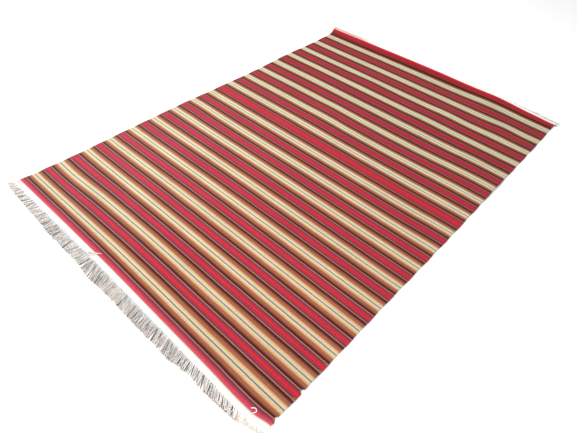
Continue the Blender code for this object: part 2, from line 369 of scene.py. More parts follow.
def stripe_knots():
    """Places along the cloth, and in the stripes: whole repeats are the creams' middles."""
    knots = [(along, REPEAT * k) for k, along in enumerate(CREAM_MIDDLES)]
    for k, along in enumerate(RED_MIDDLES):
        half = WIDE_RED_EXTRA / 2 if k == WIDE_RED else TURN_HALF
        knots += [(along + side * half, REPEAT * (k + 0.5) + side * TURN_HALF) for side in (-1, 1)]
    last = len(RED_MIDDLES)
    knots.append((CREAM_MIDDLES[0] - REPEAT * NEAR_SQUEEZE, -REPEAT))
    knots.append((CREAM_MIDDLES[-1] + REPEAT / 2, REPEAT * (last + 0.5)))
    knots.append((CLOTH_LENGTH, REPEAT * (last + 0.5) + TURN_HALF))
    return np.array(sorted(knots)).T


def stripe_coordinate(row):
    return np.interp(row, *stripe_knots())


def weft_wave(across, row):
    """How far along the cloth a weft line strays from its own row."""
    stray = sum(wave.shift * hump(wave, across, row) for wave in WEFT_WAVES)
    return stray * unit(row / PINNED) * unit((CLOTH_LENGTH - row) / PINNED)


def stripe_distance(row):
    """Distance from the middle of the nearest cream band, in the stripes' own measure."""
    turns = stripe_coordinate(row) / REPEAT
    return abs(turns - np.round(turns)) * REPEAT


# Height of the yarns over the plain cloth, by distance from the middle of a cream band.
Relief = namedtuple("Relief", "distance rise")
RELIEFS = table(
    Relief,
    (0.0, -0.00025), (0.0025, 0.0002), (0.012, 0.0003),
    (0.018, 0.00005), (0.03, 0.0), (0.042, -0.00015),
    (0.0452, 0.00025), (0.0478, -0.00015), (0.0505, 0.0001),
    (0.0535, -0.0001), (0.06, 0.0003), (0.0663, 0.00025),
)
COCKLE = 0.00045  # small unevenness of the weave
COCKLE_ACROSS, COCKLE_ALONG = 0.055, 0.11
CLOTH_COLUMNS, CROWDED = 72, 0.5  # crowded: how much closer the columns lie near the selvedges
EDGE_COLUMNS = np.array([0.0, 0.0006, 0.0016, 0.003])
INNER_FROM = 0.006
EDGE_ROUND = 0.003
EDGE_LEAST = 0.1  # of the thickness, left at the selvedge's very edge
ROW_MARKS = (  # rows beside each cream band's middle, at the edges of the stripes
    0.0, 0.0012, 0.0025, 0.0075, 0.012, 0.018, 0.024, 0.03, 0.036, 0.042,
    0.0435, 0.0452, 0.047, 0.0478, 0.0505, 0.053, 0.0565, 0.06, 0.0663,
)
END_ROWS = (0.0, 0.002, 0.005, 0.009, 0.014, 0.019)
CURL_ROW_STEP = 0.003
ROW_LEAST = 0.0009
END_THINS, END_THINS_OVER = 0.0008, 0.008
HEADING_COLUMNS, NEAR_ROWS, FAR_ROWS = 400, 9, 11
HEADING_RIB = 0.00018  # height of the warps' ribs
HEADING_COCKLE = 1.2  # times the cloth's


def cockle(across, along):
    rows = np.empty(across.shape)
    for at in np.ndindex(across.shape):
        place = Vector((across[at] / COCKLE_ACROSS, along[at] / COCKLE_ALONG, 0.0))
        rows[at] = noise.noise(place) + 0.5 * noise.noise(place * 2.7)
    return rows * COCKLE


def cloth_rows():
    """Places along the cloth: the edges of every stripe, and closer steps up the curl."""
    rows = {*END_ROWS, CLOTH_LENGTH}
    along, stripes = stripe_knots()
    for k in range(len(CREAM_MIDDLES)):
        for mark in ROW_MARKS:
            both = np.interp([REPEAT * k - mark, REPEAT * k + mark], stripes, along)
            rows |= set(both.round(5))
    for row in (*NOTCHES, END_BULGE):
        rows |= {row.along + row.half_width * side for side in (-1, -0.5, 0, 0.5, 1)}
    rows |= set(np.arange(CURL_START, CLOTH_LENGTH, CURL_ROW_STEP).round(5))
    rows = sorted(row for row in rows if 0 <= row <= CLOTH_LENGTH)
    kept = [rows[0]]
    for row in rows[1:]:
        if row - kept[-1] > ROW_LEAST:
            kept.append(row)
    kept[-1] = CLOTH_LENGTH
    return np.array(kept)


def columns(count, crowded=0.0):
    """Places across the cloth, close together at each selvedge and, if crowded, near it too."""
    even = np.linspace(-1, 1, count)
    from_middle = (1 - crowded) * even + crowded * np.sin(0.5 * math.pi * even)
    inner = 0.5 * WIDTH + (0.5 * WIDTH - INNER_FROM) * from_middle
    return np.concatenate([EDGE_COLUMNS, inner, WIDTH - EDGE_COLUMNS[::-1]])


def cloth_thick(along):
    """The cloth thins a little where it meets its headings."""
    from_end = np.minimum(along, CLOTH_LENGTH - along)
    return CLOTH_THICK - END_THINS * unit(1 - from_end / END_THINS_OVER) ** 2


def heading_thick(along):
    """A heading thins towards its outer edge."""
    outward = np.maximum(-along, along - CLOTH_LENGTH) / HEADING_WIDTH
    return HEADING_THICK - END_THINS * unit(outward) ** 2


def cloth_rise(across, along):
    return eased(RELIEFS, "rise", stripe_distance(along)) + cockle(across, along)


def heading_rise(across, along):
    ribs = HEADING_RIB * np.cos(math.pi * across / RIB)
    return ribs + HEADING_COCKLE * cockle(across * 1.6, along * 4)


def cloth_sheet(name, rows, across, thick_at, rise_at, material):
    """A thin closed sheet on the folds, with rounded selvedges."""
    u, row = np.meshgrid(across, rows)
    v = row + weft_wave(u, row)
    place = underside(u, v)
    inwards = unit(np.minimum(u, WIDTH - u) / EDGE_ROUND)
    full = np.maximum(np.sqrt(1 - (1 - inwards) ** 2), EDGE_LEAST)
    thick = thick_at(v)
    top = over(place, thick * (0.5 + 0.5 * full) + rise_at(u, row) * full)
    low = over(place, thick * 0.5 * (1 - full))
    ring = np.concatenate([top, low[:, ::-1]], 1)
    count, size = ring.shape[:2]
    weave = np.concatenate([np.stack([u, v], -1)] * 2, 1)
    weave[:, size // 2 :] = weave[:, size // 2 - 1 :: -1][:, : size // 2]
    band = np.broadcast_to(stripe_coordinate(rows)[:, None], (count, size))
    points, faces = ring.reshape(-1, 3), sheet_faces(count, size)
    return make_piece(name, points, faces, material, {"band": band.ravel()}, weave.reshape(-1, 2))


SELVEDGE_RADIUS = 0.0023
TURN_PITCH = 0.0032  # from one turn of the weft round the selvedge to the next
TURN_RINGS = 4
TURN_SIDES = 8
TURN_RIDGE, TURN_STRAY = 0.13, 0.1  # of the radius
SELVEDGE_OUT = 0.0004  # how far it stands out past the cloth


def selvedge(name, across, outward, material):
    """The weft's turns round the outermost warps, as one ridged cord along the edge."""
    rows = np.arange(0.001, CLOTH_LENGTH - 0.001, TURN_PITCH / TURN_RINGS)
    along = rows + weft_wave(across, rows)
    place = underside(np.full_like(rows, across), along)
    centre = over(place, CLOTH_THICK / 2)
    centre[:, 0] -= outward * (SELVEDGE_RADIUS - SELVEDGE_OUT)
    turns = math.tau * rows / TURN_PITCH
    uneven = np.array([noise.noise(Vector((row / 0.011, across, 0.3))) for row in rows])
    radius = SELVEDGE_RADIUS * (0.98 + TURN_RIDGE * np.cos(turns) + TURN_STRAY * uneven)
    round_it = np.arange(TURN_SIDES) * math.tau / TURN_SIDES
    side = np.array([1.0, 0.0, 0.0])
    up = np.stack([0 * rows, -np.sin(place[3]), np.cos(place[3])], -1)
    ring = (
        centre[:, None]
        + radius[:, None, None] * np.cos(round_it)[None, :, None] * side
        + radius[:, None, None] * np.sin(round_it)[None, :, None] * up[:, None]
    )
    ring[..., 2] = np.maximum(ring[..., 2], 0.0)
    faces = [face[::-1] for face in tube_faces(len(rows), TURN_SIDES)]
    faces.append(list(range(TURN_SIDES)))
    faces.append(list(range(len(rows) * TURN_SIDES))[: -TURN_SIDES - 1 : -1])
    u = np.broadcast_to(across - outward * 0.001 * round_it, ring.shape[:2])
    v = np.broadcast_to(along[:, None], ring.shape[:2])
    weave = np.stack([u, v], -1).reshape(-1, 2)
    band = np.repeat(stripe_coordinate(rows), TURN_SIDES)
    return make_piece(name, ring.reshape(-1, 3), faces, material, {"band": band}, weave)


# Strands

PLY_SIDES = 5
TWIST_PITCH = 0.013  # one turn of the two plies round each other
PLIES = 2
PLY_AWAY, PLY_RADIUS = 0.46, 0.56  # of the strand's radius
TAPER = 0.35  # how much thinner a tip is
SWELL_OVER = 0.3  # of the length, from the root


class Yarns:
    """Collects two-ply strands and makes them one mesh."""

    def __init__(self):
        self.points, self.faces, self.tone, self.reach = [], [], [], []
        self.count = 0

    def add(
        self, path, radius, tone, phase, loosened=0.0, plies=PLIES, swell=0.0, height=1.0, grown=0.0
    ):
        """A strand along `path`; its plies part by `loosened` radii at the tip.

        `height` is its share of the width, `grown` how far out its colour starts.
        """
        steps = np.diff(path, axis=0)
        length = np.concatenate([[0.0], np.cumsum(np.linalg.norm(steps, axis=1))])
        ahead = np.gradient(path, axis=0)
        ahead /= np.linalg.norm(ahead, axis=1)[:, None]
        side = np.cross(ahead, [0.0, 0.0, 1.0])
        side /= np.linalg.norm(side, axis=1)[:, None]
        up = np.cross(side, ahead) * np.reshape(height, (-1, 1))
        share = length / length[-1]
        radius = radius * (1 - TAPER * share**3 + swell * unit(1 - share / SWELL_OVER))
        away = radius * (PLY_AWAY + loosened * share**2) * (plies > 1)
        thick = radius * (PLY_RADIUS if plies > 1 else 1.0)

        def aside(distance, angle):
            return distance[:, None] * (np.cos(angle)[:, None] * side + np.sin(angle)[:, None] * up)

        for ply in range(plies):
            turn = phase + math.tau * (length / TWIST_PITCH + ply / plies)
            centre = path + aside(away, turn)
            angles = (turn + math.tau * k / PLY_SIDES for k in range(PLY_SIDES))
            ring = np.stack([centre + aside(thick, angle) for angle in angles], 1)
            ring[..., 2] = np.maximum(ring[..., 2], 0.0)
            last = self.count + (len(path) - 1) * PLY_SIDES
            faces = tube_faces(len(path), PLY_SIDES, self.count)
            self.faces += [face[::-1] for face in faces]
            self.faces.append([self.count + k for k in range(PLY_SIDES)])
            self.faces.append([last + k for k in range(PLY_SIDES - 1, -1, -1)])
            self.keep(ring, tone, np.repeat(grown + (1 - grown) * share, PLY_SIDES))

    def add_sheet(self, top, low):
        """A closed sheet between two grids of points, coloured as the strands' roots."""
        ring = np.concatenate([top, low[:, ::-1]], 1)
        faces = sheet_faces(*ring.shape[:2], self.count)
        self.faces += [face[::-1] for face in faces]
        self.keep(ring, 0.0, np.zeros(ring[..., 0].size))

    def keep(self, ring, tone, reach):
        self.points.append(ring.reshape(-1, 3))
        self.tone.append(np.full(len(reach), tone))
        self.reach.append(reach)
        self.count += len(reach)

    def piece(self, name, material):
        floats = {"tone": np.concatenate(self.tone), "reach": np.concatenate(self.reach)}
        return make_piece(name, np.concatenate(self.points), self.faces, material, floats)


# How the near strands lie: lean from straight out in degrees, how much single strands stray
# from it, and the share of the gaps between tufts that get painted deep shade.
Lie = namedtuple("Lie", "across lean stray shade")
NEAR_LIES = table(
    Lie,
    (0.0, -44, 4, 0.05), (0.012, -36, 5, 0.05), (0.03, -28, 7, 0.05),
    (0.06, -26, 9, 0.15), (0.12, -21, 11, 0.3), (0.25, -14, 11, 0.25),
    (0.35, -6, 11, 0.6), (0.43, 0, 11, 0.8), (0.5, 18, 12, 0.6),
    (0.56, -18, 14, 0.6), (0.62, -2, 12, 0.7), (0.68, 28, 11, 0.8),
    (0.74, 18, 11, 0.8), (0.85, 16, 11, 0.7), (0.95, 18, 11, 0.8),
    (1.07, 18, 11, 0.8), (1.16, 32, 10, 0.75), (1.24, 20, 10, 0.85),
    (1.32, 38, 9, 0.75), (1.41, 46, 8, 0.6), (1.47, 42, 9, 0.5),
    (1.515, 34, 9, 0.2), (1.55, 50, 9, 0.05), (1.6, 54, 8, 0.0),
)
# How far the tips reach straight out past the heading, by where the tips are.
Reach = namedtuple("Reach", "across out")
NEAR_OUTLINE = table(
    Reach,
    (-0.02, 0.032), (0.03, 0.039), (0.1, 0.045), (0.25, 0.051),
    (0.4, 0.06), (0.6, 0.058), (0.7, 0.069), (0.77, 0.063),
    (0.85, 0.061), (1.07, 0.061), (1.12, 0.057), (1.19, 0.06),
    (1.25, 0.049), (1.3, 0.043), (1.35, 0.046), (1.4, 0.044),
    (1.43, 0.041), (1.48, 0.037), (1.506, 0.035), (1.53, 0.026),
    (1.56, 0.019), (1.62, 0.016),
)
NEAR_SPACING = 0.0036
NEAR_RADIUS = 0.0019
NEAR_RINGS = 15
NEAR_HEIGHTS = ((0.3, 0.9), (0.38, 0.58))  # across, and the strands' height over their width
ROOT_HEIGHT = 0.3  # the same where they leave the heading
LEAN_LEAST, LEAN_MOST = -58, 64  # degrees
CROSSING_SHARE = 0.1  # of the strands, which lie across the others
CROSSING_LEAN = (16, 30)
NEAR_FACTOR = (0.88, 1.04)  # of the outline's length
STRAND_WAVE = 0.0012
LOWEST_SPACING = 0.0042
LOWEST_RADIUS = 0.0025
LOWEST_RINGS = 9
LOWEST_HEIGHT = 0.42  # of their width
PARTED = 0.006  # half the width of the roots of a gap with painted shade
ROOT_STRIP = 0.006  # width of the fused roots, outward from the heading
ROOT_STRIP_STRAY = 0.0045
ROOT_LAP = 0.0015  # how far they reach in under the heading's edge
ROOT_RIB = 0.00022
ROOT_MIN, ROOT_MAX = -0.003, 0.004  # where strands come up, inward from the heading's edge
FAR_RINGS = 16
FAR_GROUP = 0.015  # from one group of far strands to the next
FAR_RADIUS = 0.0016
FAR_FACTOR = (0.86, 1.03)  # of its length
FAR_SHADE = (0.15, 0.8)  # painted shade: how dark a far strand is coloured, as if the heading shaded it
FAR_SHADED_TO = (0.9, 1.6)  # across: where the painted shade starts to lift and where half is left
FAR_INSIDE = 0.0045  # where far strands come up, inward from the heading's edge
SHADED_STRANDS = (  # x, y of short dark strands, a painted shadow by the far heading's right end
    ((0.799, 1.16), (0.811, 1.1665)),
    ((0.8, 1.164), (0.815, 1.171)),
)


def lie_at(across):
    return Lie(across, *(eased(NEAR_LIES, key, across) for key in Lie._fields[1:]))


def strand_path(across, lean, bend, inside, factor, rings):
    """A near strand's way over the floor, from where it comes up to the fringe's outline."""
    shares = np.linspace(0, 1, rings)
    turned = lean * (0.3 + 0.7 * unit(shares / 0.35)) + bend * (shares - 0.4)
    ahead = np.cumsum(np.cos(turned)) - math.cos(turned[0])
    aside = np.cumsum(np.sin(turned)) - math.sin(turned[0])
    out = 0.05
    for _ in range(4):
        tip = across + aside[-1] / ahead[-1] * (out + inside)
        out = eased(NEAR_OUTLINE, "out", tip) * factor
    step = min(out + inside, 0.075 * ahead[-1] / (rings - 1)) / ahead[-1]
    x, y, z, _ = (float(value) for value in underside(across, NEAR_EDGE + inside))
    return shares, x + aside * step, y - ahead * step, z


def tufts(rng, start, end, spacing):
    """Tufts of strands between two places across: their roots, and whether a gap with painted shade
    follows.
    """
    made = []
    across = start
    while across < end:
        roots = []
        for _ in range(rng.integers(4, 8)):
            roots.append(across)
            across += spacing * rng.uniform(0.85, 1.15)
        made.append(([r for r in roots if r < end], rng.uniform() < lie_at(min(across, end)).shade))
    return made


def lowest_strands(yarns, rng, gaps):
    """Flattened strands on the floor, which fill the fringe's outline under the others."""
    for across in np.arange(0.004, WIDTH - 0.003, LOWEST_SPACING):
        lie = lie_at(across)
        lean = math.radians(lie.lean + 0.3 * lie.stray * rng.normal())
        factor = rng.uniform(0.93, 1.0)
        shares, x, y, z = strand_path(across, lean, 0.0, -0.002, factor, LOWEST_RINGS)
        radius = LOWEST_RADIUS * rng.uniform(0.9, 1.1)
        parted = min((abs(across - gap) for gap in gaps), default=1.0) < PARTED
        # Painted shade: lowest strands under a parted gap are coloured dark, the others only a
        # little.
        shade = rng.uniform(0.7, 1.0) if parted else rng.uniform(0.0, 0.05)
        path = np.stack([x, y, np.full(LOWEST_RINGS, z + radius * LOWEST_HEIGHT)], -1)
        yarns.add(path, radius, 1.0 + shade, 0.0, plies=1, height=LOWEST_HEIGHT)


def root_strip(yarns):
    """The strands' fused roots, a ribbed strip along the heading with an uneven outer edge."""
    across = np.linspace(0.001, WIDTH - 0.001, 900)
    uneven = np.array([noise.noise(Vector((at / 0.006, 2.0, 0.0))) for at in across])
    wide = ROOT_STRIP + ROOT_STRIP_STRAY * uneven
    tops, lows = [], []
    for share in (0.0, 0.35, 0.7, 0.92, 1.0):
        place = underside(across, NEAR_EDGE + ROOT_LAP - (wide + ROOT_LAP) * share)
        rib = ROOT_RIB * np.cos(math.tau * across / NEAR_SPACING)
        thick = HEADING_THICK - 0.0009 - 0.0006 * share - 0.0012 * max(0.0, share - 0.7) / 0.3
        tops.append(over(place, thick + rib))
        lows.append(over(place, 0.0002))
    yarns.add_sheet(np.array(tops), np.array(lows))


def near_strand(yarns, rng, across, tuft_lean, middle_x, draw):
    """One strand of a tuft, whose tip is drawn towards the tuft's middle."""
    lie = lie_at(across)
    radius = NEAR_RADIUS * rng.uniform(0.85, 1.1)
    tall = np.interp(across, *NEAR_HEIGHTS)
    lean = lie.lean + lie.stray * (0.6 * tuft_lean + 0.45 * rng.normal())
    layer = rng.integers(0, 3)
    crosses = rng.uniform() < CROSSING_SHARE
    if crosses:
        lean += rng.choice((-1, 1)) * rng.uniform(*CROSSING_LEAN)
        layer = 3
    lean = math.radians(min(max(lean, LEAN_LEAST), LEAN_MOST))
    inside = rng.uniform(ROOT_MIN, ROOT_MAX)
    bend = rng.normal() * 0.25
    waves, start_wave = rng.uniform(0.8, 1.8), rng.uniform(0, math.tau)
    factor = rng.uniform(*NEAR_FACTOR)
    shares, x, y, z = strand_path(across, lean, bend, inside, factor, NEAR_RINGS)
    x = x + STRAND_WAVE * np.sin(math.tau * waves * shares + start_wave) * shares
    if not crosses:
        x = x + (middle_x - x[0]) * draw * shares**1.5
    # It leaves the heading at the heading's height and falls to rest on the lowest strands.
    fall = smooth(unit((shares - 0.08) / 0.4))
    arch = layer * radius * tall * np.sin(math.pi * np.minimum(1.0, fall * 1.1)) ** 0.8
    on_lowest = 2 * LOWEST_RADIUS * LOWEST_HEIGHT * 0.6
    resting = on_lowest * (1 - 0.5 * shares) + radius * 0.7 + arch
    rooted = HEADING_THICK - 0.0014 - 0.3 * radius * unit(1 - shares / 0.06)
    path = np.stack([x, y, z + rooted * (1 - fall) + resting * fall], -1)
    # Painted shade: strands in the two lowest layers may be coloured darker than those above.
    tone = rng.uniform() * (0.9 if layer < 2 else 0.4)
    twist, loosened = rng.uniform(0, 6.28), rng.uniform(0, 0.4)
    height = np.interp(shares, (0.12, 0.5), (ROOT_HEIGHT, tall))
    yarns.add(path, radius, tone, twist, loosened, swell=0.35, height=height)


def near_fringe(material):
    rng = np.random.default_rng(7)
    yarns = Yarns()
    root_strip(yarns)
    made = tufts(rng, 0.002, WIDTH - 0.002, NEAR_SPACING)
    gaps = [roots[-1] + NEAR_SPACING / 2 for roots, parted in made if parted and roots]
    lowest_strands(yarns, rng, gaps)
    parted_before = False
    for roots, parted in made:
        if not roots:
            continue
        middle_x = floor_x((roots[0] + roots[-1]) / 2, 0.0)
        tuft_lean = rng.normal()
        draw = rng.uniform(0.45, 0.75) if parted or parted_before else rng.uniform(0.0, 0.25)
        parted_before = parted
        for across in roots:
            near_strand(yarns, rng, across, tuft_lean, middle_x, draw)
    return yarns.piece("near_fringe_strands", material)


def far_fringe(material):
    rng = np.random.default_rng(11)
    yarns = Yarns()
    group = 0.004
    while group < WIDTH - 0.003:
        group_lean = rng.normal()
        for k in range(rng.integers(2, 4)):
            across = min(group + 0.0036 * k, WIDTH - 0.001)
            radius = FAR_RADIUS * rng.uniform(0.85, 1.1)
            length = eased(FAR_FRINGE, "length", across) * rng.uniform(*FAR_FACTOR)
            lean = eased(FAR_FRINGE, "lean", across)
            lean = math.radians(lean + 6 * group_lean + 3 * rng.normal())
            place = underside(across, FAR_EDGE - FAR_INSIDE)
            root = over(place, HEADING_THICK - 0.5 * radius)
            falling = length * FALL_SHARE
            reach = math.sqrt(max(falling**2 - place[2] ** 2, (0.3 * falling) ** 2))
            end = 1.0 + length * (1 - FALL_SHARE) / reach
            level = FAR_INSIDE / reach + 0.12
            shares = (0.0, level, 0.5, 1.0, end)
            rises = math.tan(place[3]) * reach
            halfway = max(place[2] * 0.7, radius) + radius
            heights = (root[2], root[2] + rises * level * 0.7, halfway, radius, radius)
            path = []
            for share in np.linspace(0, end, FAR_RINGS):
                height = np.interp(share, shares, heights)
                forward = math.cos(lean) * reach * share
                sideways = math.sin(lean) * reach * share + 0.001 * math.sin(5 * share + across * 900)
                path.append((root[0] + sideways, root[1] + forward, height))
            path = np.array(path)
            for _ in range(2):
                path[1:-1] = (path[:-2] + 2 * path[1:-1] + path[2:]) / 4
            # Painted shade: far strands are coloured darker, less towards the right.
            tone = 1.0 + rng.uniform(*FAR_SHADE) * np.interp(across, FAR_SHADED_TO, (1.0, 0.45))
            twist, loosened = rng.uniform(0, 6.28), rng.uniform(0, 0.5)
            yarns.add(path, radius, tone, twist, loosened, grown=0.6)
        group += FAR_GROUP * rng.uniform(0.85, 1.15)
    # Painted shadow: short dark strands on the floor by the far heading's right end.
    for start, end in SHADED_STRANDS:
        path = np.linspace((*start, 0.002), (*end, 0.002), 6)
        yarns.add(path, 0.0022, 2.0, 0.0, grown=1.0)
    return yarns.piece("far_fringe_strands", material)


def smooth_path(points, count):
    """Points along a smooth curve through these (Catmull-Rom)."""
    points = np.asarray(points, float)
    padded = np.vstack([2 * points[0] - points[1], points, 2 * points[-1] - points[-2]])
    path = []
    for at in np.linspace(0, len(points) - 1 - 1e-9, count):
        k = int(at)
        t = at - k
        p0, p1, p2, p3 = padded[k : k + 4]
        bent = 2 * p0 - 5 * p1 + 4 * p2 - p3
        path.append(0.5 * (2 * p1 + (p2 - p0) * t + bent * t**2 + (3 * p1 - p0 - 3 * p2 + p3) * t**3))
    return np.array(path)


# Strands that lie over the heading onto the red band, as points across and along.
LOOSE_STRANDS = (
    (
        (0.563, -0.039), (0.593, -0.031), (0.613, -0.016),
        (0.63, -0.001), (0.6345, 0.007), (0.6445, 0.013),
    ),
    ((0.56, -0.034), (0.585, -0.026), (0.606, -0.012), (0.622, -0.002), (0.634, 0.004)),
    ((0.571, -0.043), (0.599, -0.034), (0.618, -0.02), (0.632, -0.008)),
    (
        (1.5165, 0.007), (1.522, 0.0142), (1.531, 0.0155),
        (1.5375, 0.008), (1.5355, 0.0), (1.531, -0.008),
    ),
)
LOOSE_RADIUS = 0.0022


def loose_strands(material):
    rng = np.random.default_rng(3)
    yarns = Yarns()
    for places in LOOSE_STRANDS:
        places = smooth_path(places, 22)
        place = underside(places[:, 0], places[:, 1])
        thick = np.where(places[:, 1] > -GAP, CLOTH_THICK, HEADING_THICK)
        thick = np.where(places[:, 1] < -HEADING_WIDTH, 0.0022, thick)
        path = over(place, thick + LOOSE_RADIUS * 0.9)
        path[1:-1] = (path[:-2] + path[1:-1] + path[2:]) / 3
        yarns.add(path, LOOSE_RADIUS, 0.0, rng.uniform(0, 6.28), loosened=0.1, height=0.45)
    return yarns.piece("loose_strands", material)


# Materials


def linear(colour):
    """An sRGB colour from 0 to 255 as Blender's linear one."""
    parts = [c / 255 for c in colour]
    parts = [c / 12.92 if c <= 0.04045 else ((c + 0.055) / 1.055) ** 2.4 for c in parts]
    return (*parts, 1.0)


def dyed(colour):
    """The linear colour of a yarn that looks like this sRGB one under the studio's light."""
    return (*(part / LIGHT for part in linear(colour)[:3]), 1.0)


class Shading:
    """Short calls to build one material's nodes."""

    def __init__(self, name, roughness, sheen):
        self.material = bpy.data.materials.new(name)
        self.material.use_nodes = True
        self.tree = self.material.node_tree
        self.shader = self.tree.nodes["Principled BSDF"]
        looks = {"Sheen Weight": sheen, "Sheen Roughness": 0.5, "Specular IOR Level": 0.05}
        self.feed(self.shader, Roughness=roughness, **looks)

    def node(self, kind, *values, **settings):
        """A node with these settings, and these values in its first sockets."""
        made = self.tree.nodes.new("ShaderNode" + kind)
        for key, value in settings.items():
            setattr(made, key, value)
        for socket, value in zip(made.inputs, values):
            self.link(value, socket)
        return made

    def link(self, source, target):
        """Joins a socket to another one, or sets it to a number or a colour."""
        if isinstance(source, (int, float, tuple)):
            target.default_value = source
        else:
            self.tree.links.new(source, target)

    def feed(self, node, **values):
        for key, value in values.items():
            self.link(value, node.inputs[key])

    def math(self, operation, *values):
        return self.node("Math", *values, operation=operation).outputs[0]

    def times(self, first, *others):
        for other in others:
            first = self.math("MULTIPLY", first, other)
        return first

    def inside(self, value, low, high):
        """1 where a value lies between two others, else 0."""
        return self.times(self.math("GREATER_THAN", value, low), self.math("LESS_THAN", value, high))

    def value(self, attribute):
        made = self.node("Attribute", attribute_type="GEOMETRY", attribute_name=attribute)
        return made.outputs["Fac"]

    def weave(self):
        """across and along, from the piece's weave map."""
        place = self.node("UVMap", uv_map="weave").outputs[0]
        return self.node("SeparateXYZ", place).outputs[:2]

    def join(self, x, y, z=0.0):
        return self.node("CombineXYZ", x, y, z).outputs[0]

    def random(self, vector):
        return self.node("TexWhiteNoise", vector, noise_dimensions="3D").outputs["Value"]

    def noise(self, vector, scale, detail=2.0):
        made = self.node("TexNoise", noise_dimensions="3D")
        self.feed(made, Vector=vector, Scale=scale, Detail=detail)
        return made.outputs["Fac"]

    def ranged(self, value, low, high, to_low=0.0, to_high=1.0, smooth=False):
        kind = "SMOOTHSTEP" if smooth else "LINEAR"
        values = value, low, high, to_low, to_high
        made = self.node("MapRange", *values, interpolation_type=kind, clamp=True)
        return made.outputs[0]

    def mixed(self, share, first, second, blend="MIX"):
        made = self.node("Mix", data_type="RGBA", blend_type=blend)
        made.clamp_factor = True
        self.link(share, made.inputs[0])
        self.link(first, made.inputs[6])
        self.link(second, made.inputs[7])
        return made.outputs[2]

    def brighter(self, colour, by):
        """A colour times a value round 1."""
        grey = self.node("CombineColor", by, by, by)
        return self.mixed(1.0, colour, grey.outputs[0], "MULTIPLY")

    def ramp(self, value, stops):
        made = self.node("ValToRGB", value)
        elements = made.color_ramp.elements
        while len(elements) < len(stops):
            elements.new(0.5)
        for element, (at, colour) in zip(elements, stops):
            element.position = at
            element.color = dyed(colour)
        return made.outputs[0]

    def bump(self, height, strength, distance):
        made = self.node("Bump")
        self.feed(made, Height=height, Strength=strength, Distance=distance)
        self.link(made.outputs[0], self.shader.inputs["Normal"])

    def fuzzy_bump(self, height, across, along, strength, distance):
        fuzz = self.noise(self.join(across, along), 900.0)
        self.bump(self.math("MULTIPLY_ADD", fuzz, 0.25, height), strength, distance)

    def finish(self, colour):
        self.link(colour, self.shader.inputs["Base Color"])
        return self.material


def weft_beads(s, across, along):
    """Weft on warp: each rib's number, each bead's number and middle, and a height for bump."""
    rib = s.math("FLOOR", s.math("DIVIDE", across, RIB))
    half = s.times(s.math("FLOORED_MODULO", rib, 2.0), 0.5)
    picks = s.math("ADD", s.math("DIVIDE", along, PICK), half)
    bead = s.math("FLOOR", picks)
    middle = s.times(s.math("SUBTRACT", s.math("ADD", bead, 0.5), half), PICK)
    over_warp = s.math("ABSOLUTE", s.math("SINE", s.times(across, math.pi / RIB)))
    over_pick = s.math("ABSOLUTE", s.math("SINE", s.times(picks, math.pi)))
    round_pick = s.math("MULTIPLY_ADD", s.math("POWER", over_pick, 0.5), 0.45, 0.55)
    return rib, bead, middle, s.times(s.math("POWER", over_warp, 0.6), round_pick)


def stripes(s, band, across, along):
    """The stripes' colour, which changes along the rug and a little across it."""
    distance = s.math("PINGPONG", band, REPEAT / 2)
    share = s.math("DIVIDE", distance, REPEAT / 2)
    places = [row.distance / 1000 / (REPEAT / 2) for row in STRIPES]
    near = s.ramp(share, [(at, row.near) for at, row in zip(places, STRIPES)])
    far = s.ramp(share, [(at, row.far) for at, row in zip(places, STRIPES)])
    far_share = s.ranged(along, *FAR_FROM)
    near_share = s.math("SUBTRACT", 1.0, far_share)
    tint = s.mixed(s.ranged(across, 0.3, 1.3), COOL, WARM)
    colour = s.mixed(near_share, s.mixed(far_share, near, far), tint, "MULTIPLY")
    # Painted light: the near left part is washed a little whiter.
    veil = s.times(near_share, s.ranged(across, 0.9, 0.2, 0.0, VEIL))
    return s.mixed(veil, colour, (1.0, 1.0, 1.0, 1.0)), distance


def weft_ends(s, colour, distance, across, along):
    """The short weft ends at the right selvedge, and the end of the brighter blue one."""
    ragged = s.noise(s.join(0.0, s.times(along, 60.0)), 1.0)
    past = s.math("GREATER_THAN", across, s.ranged(ragged, 0.3, 0.7, *SHORT_TO))
    short = s.times(s.inside(distance, *SHORT_ENDS), past, s.math("LESS_THAN", along, SHORT_UP_TO))
    colour = s.mixed(s.times(short, 0.8), colour, dyed(KHAKI))
    past = s.math("GREATER_THAN", across, WIDTH - BLUE_END_LENGTH)
    here = s.math("COMPARE", along, BLUE_END_AT, BLUE_END_HALF)
    return s.mixed(s.times(s.inside(distance, *BLUE_LINE), past, here, 0.85), colour, dyed(BLUE_END))


def end_bands(s, colour, across, along):
    """The end bands pale towards their headings; the far one has painted shade up its slope and at
    the curl's foot.
    """
    colour = s.mixed(s.ranged(along, *END_RED_FROM, 0.0, 0.8), colour, dyed(END_RED))
    pink = s.ranged(along, *END_PINK_FROM, 0.0, 0.95, smooth=True)
    colour = s.mixed(pink, colour, dyed(END_PINK))
    colour = s.mixed(s.ranged(along, *END_EDGE_FROM, 0.0, 0.7), colour, dyed(END_EDGE))
    # Painted shade: a darker red up the far band's slope on the curl.
    crest = s.times(s.ranged(along, *FAR_END_FROM), s.ranged(along, *FAR_END_FADES, 0.5, 0.0))
    colour = s.mixed(crest, colour, dyed(SHADED_FAR_END_RED))
    foot = s.times(s.ranged(along, *CURL_SHADE_IN), s.ranged(along, *CURL_SHADE_OUT))
    colour = s.mixed(foot, colour, CURL_SHADE, "MULTIPLY")
    pale = s.ranged(along, *OUTER_PINK_FROM, 0.0, 0.7, smooth=True)
    colour = s.mixed(pale, colour, dyed(OUTER_PINK))
    return s.mixed(s.ranged(across, WORN_WIDTH, 0.0, 0.0, 0.55), colour, dyed(WORN_EDGE))


